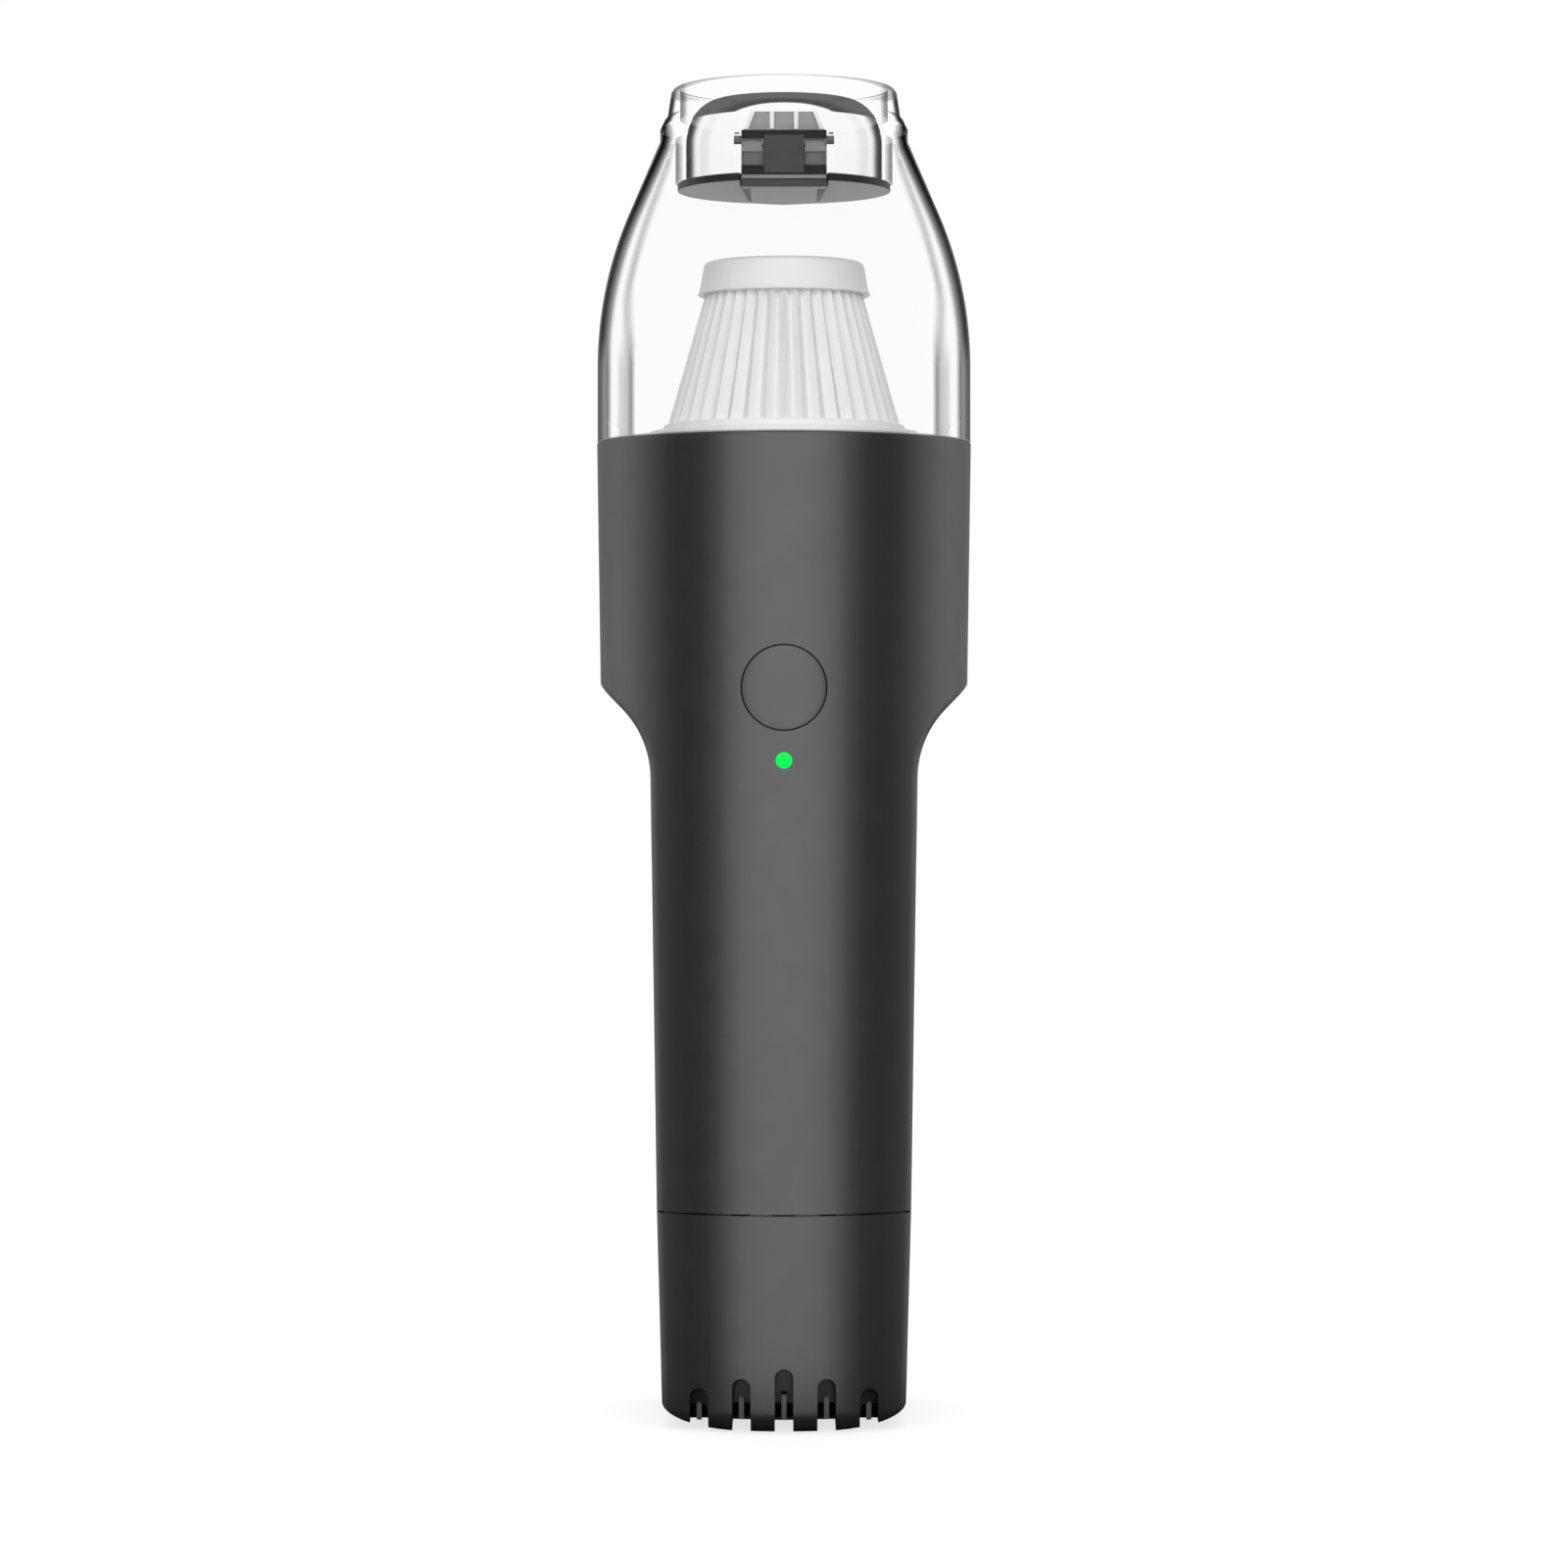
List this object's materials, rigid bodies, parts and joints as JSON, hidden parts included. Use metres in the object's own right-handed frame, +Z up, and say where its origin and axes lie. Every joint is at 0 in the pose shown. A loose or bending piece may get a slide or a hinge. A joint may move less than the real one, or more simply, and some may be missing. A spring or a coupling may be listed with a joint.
{
  "type": "handheld vacuum cleaner",
  "caption": "Slim upright handheld vacuum with a clear dome dust cup, inlet flap, pleated cone filter, push button, status light and a flat-sided grip with exhaust slots at the tail.",
  "frame": {"origin": "centre of the tail's flat end, on which the vacuum stands", "axes": "+Z up along the body to the inlet nose, front with the power button faces -Y, +X to its right"},
  "size_m": [0.0706, 0.0706, 0.25],
  "materials": {
    "body_plastic": "fine matte moulded",
    "clear_plastic": "polished clear",
    "white_plastic": "satin moulded",
    "filter_paper": "pleated non-woven",
    "flap_rubber": "matte",
    "flap_plastic": "satin moulded",
    "seal_rubber": "soft matte",
    "lamp_green": "lit green lens",
    "inner_plastic": "plain moulded",
    "circuit_board": "solder mask",
    "switch_plastic": "plain moulded",
    "steel": "plain",
    "cell_sleeve": "shrink-wrapped",
    "magnet": "sintered",
    "bronze": "sintered"
  },
  "bodies": {
    "housing": {"main_housing": "body_plastic", "tail_cap": "body_plastic", "filter_seat": "white_plastic", "seat_screws": "steel", "cup_seal": "seal_rubber", "fan_shroud": "inner_plastic", "motor_can": "steel", "motor_end_cap": "inner_plastic", "motor_magnets": "magnet", "motor_bushes": "bronze", "motor_screws": "steel", "battery_cells": "cell_sleeve", "cell_links": "steel", "cell_holder_lower": "inner_plastic", "cell_holder_upper": "inner_plastic", "control_board": "circuit_board", "board_screws": "steel", "tact_switch": "switch_plastic", "status_led": "lamp_green", "led_lens": "lamp_green", "charge_board": "circuit_board", "usb_socket": "steel"},
    "button": {"power_button": "body_plastic", "switch_plunger": "switch_plastic"},
    "rotor": {"rotor_shaft": "steel", "rotor_core": "magnet", "commutator": "bronze", "impeller": "inner_plastic"},
    "cup": {"dust_cup": "clear_plastic", "inlet_sleeve": "clear_plastic", "hinge_pin": "steel"},
    "flap": {"flap_disc": "flap_rubber", "flap_arm": "flap_plastic"},
    "filter": {"filter_cap": "white_plastic", "filter_pleats": "filter_paper", "filter_flange": "white_plastic", "filter_seal": "seal_rubber"}
  },
  "joints": [
    {"name": "cup_lift", "type": "slide", "parent": "housing", "child": "cup", "axis": [0, 0, 1], "range_m": [0, 0.08]},
    {"name": "filter_lift", "type": "slide", "parent": "housing", "child": "filter", "axis": [0, 0, 1], "range_m": [0, 0.04]},
    {"name": "flap_open", "type": "hinge", "parent": "cup", "child": "flap", "pos_m": [0, -0.0182, 0.238], "axis": [-1, 0, 0], "range_deg": [0, 20], "stiffness_Nm_per_rad": 0.004, "springref_deg": -22.92},
    {"name": "power_press", "type": "slide", "parent": "housing", "child": "button", "axis": [0, 1, 0], "range_m": [0, 0.0008], "stiffness_N_per_m": 800},
    {"name": "fan_spin", "type": "hinge", "parent": "housing", "child": "rotor", "pos_m": [0, 0, 0.16], "axis": [0, 0, 1], "continuous": true}
  ],
  "couplings": [
    {"joint": "filter_lift", "follows": "cup_lift", "ratio": 0.5}
  ]
}
